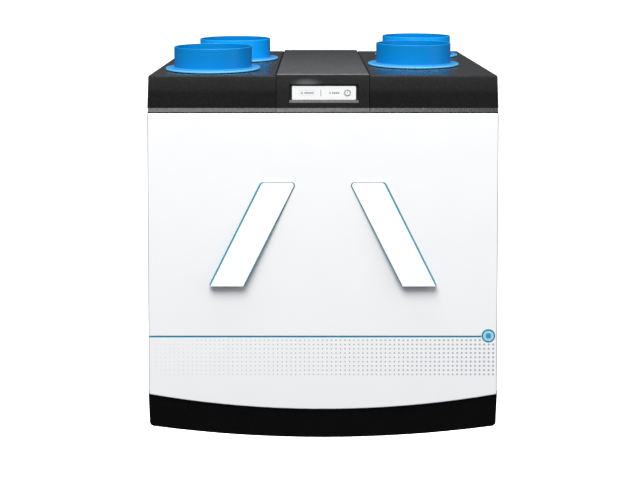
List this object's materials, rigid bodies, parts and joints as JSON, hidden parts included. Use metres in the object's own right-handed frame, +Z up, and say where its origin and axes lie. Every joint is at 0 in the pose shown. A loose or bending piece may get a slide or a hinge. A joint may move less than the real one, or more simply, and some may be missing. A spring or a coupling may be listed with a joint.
{
  "type": "heat recovery unit",
  "caption": "Wall-hung heat recovery unit: black foam casing, white front panel with slanted filter drawers, blue duct spigots on top, exchanger and fans inside.",
  "frame": {"origin": "under the middle of the unit at the lower end of the drain stub", "axes": "+X to the right seen from the front, +Y from the front panel to the wall, +Z up"},
  "size_m": [0.6806, 0.58, 0.77],
  "materials": {
    "foam": "moulded bead foam, satin beads",
    "panel_white": "satin white",
    "blue_plastic": "semi-gloss moulded",
    "seal_rubber": "matt",
    "lens": "smooth",
    "circuit_board": "solder mask",
    "dark_plastic": "fine texture",
    "exchanger_plastic": "thin sheet",
    "fan_plastic": "moulded",
    "motor_metal": "cast and turned",
    "filter_media": "pleated fibre",
    "drain_plastic": "moulded",
    "zinc_steel": "galvanised",
    "cable": "smooth sheath"
  },
  "bodies": {
    "housing": {"badge": "blue_plastic", "base_tray": "foam", "board_components": "dark_plastic", "board_tray": "dark_plastic", "body_shell": "foam", "bus_sockets": "dark_plastic", "bypass_actuator": "dark_plastic", "bypass_frame": "fan_plastic", "cap_gasket": "seal_rubber", "centre_cover": "foam", "condensate_pan": "drain_plastic", "control_board": "circuit_board", "display_lens": "lens", "display_plate": "panel_white", "drain_nut": "drain_plastic", "drain_stub": "drain_plastic", "exchanger_frame": "exchanger_plastic", "exchanger_plates": "exchanger_plastic", "exchanger_seals": "seal_rubber", "exhaust_inlet_ring": "fan_plastic", "exhaust_motor": "motor_metal", "exhaust_riser": "fan_plastic", "exhaust_scroll": "fan_plastic", "filter_rails": "fan_plastic", "front_panel": "panel_white", "hanger_plate": "zinc_steel", "hanger_screws": "zinc_steel", "inner_bulkhead": "foam", "mains_inlet": "dark_plastic", "motor_screws": "zinc_steel", "panel_edge_frame": "panel_white", "slot_gaskets": "seal_rubber", "spigot_exhaust": "blue_plastic", "spigot_extract": "blue_plastic", "spigot_gaskets": "seal_rubber", "spigot_outdoor": "blue_plastic", "spigot_supply": "blue_plastic", "supply_inlet_ring": "fan_plastic", "supply_motor": "motor_metal", "supply_riser": "fan_plastic", "supply_scroll": "fan_plastic", "temperature_sensors": "zinc_steel", "top_cap_left": "foam", "top_cap_right": "foam", "trim_line": "blue_plastic", "wall_bracket": "zinc_steel", "wall_spacers": "seal_rubber", "wiring_loom": "cable"},
    "drawer_left": {"drawer_left_frame": "blue_plastic", "drawer_left_cover": "panel_white", "filter_left": "filter_media"},
    "drawer_right": {"drawer_right_frame": "blue_plastic", "drawer_right_cover": "panel_white", "filter_right": "filter_media"},
    "supply_fan": {"supply_impeller": "fan_plastic", "supply_rotor": "motor_metal"},
    "exhaust_fan": {"exhaust_impeller": "fan_plastic", "exhaust_rotor": "motor_metal"},
    "bypass": {"bypass_flap": "fan_plastic"},
    "button": {"push_button": "panel_white"}
  },
  "joints": [
    {"name": "drawer_left_slide", "type": "slide", "parent": "housing", "child": "drawer_left", "axis": [0, -1, 0], "range_m": [0, 0.42]},
    {"name": "drawer_right_slide", "type": "slide", "parent": "housing", "child": "drawer_right", "axis": [0, -1, 0], "range_m": [0, 0.42]},
    {"name": "supply_fan_spin", "type": "hinge", "parent": "housing", "child": "supply_fan", "pos_m": [-0.2, -0.148, 0.2], "axis": [0, 1, 0], "continuous": true},
    {"name": "exhaust_fan_spin", "type": "hinge", "parent": "housing", "child": "exhaust_fan", "pos_m": [0.2, 0.17, 0.2], "axis": [0, 1, 0], "continuous": true},
    {"name": "bypass_flap_swing", "type": "hinge", "parent": "housing", "child": "bypass", "pos_m": [0, 0.213, 0.453], "axis": [1, 0, 0], "range_deg": [0, 85]},
    {"name": "button_press", "type": "slide", "parent": "housing", "child": "button", "axis": [0, 1, 0], "range_m": [0, 0.0008]}
  ]
}
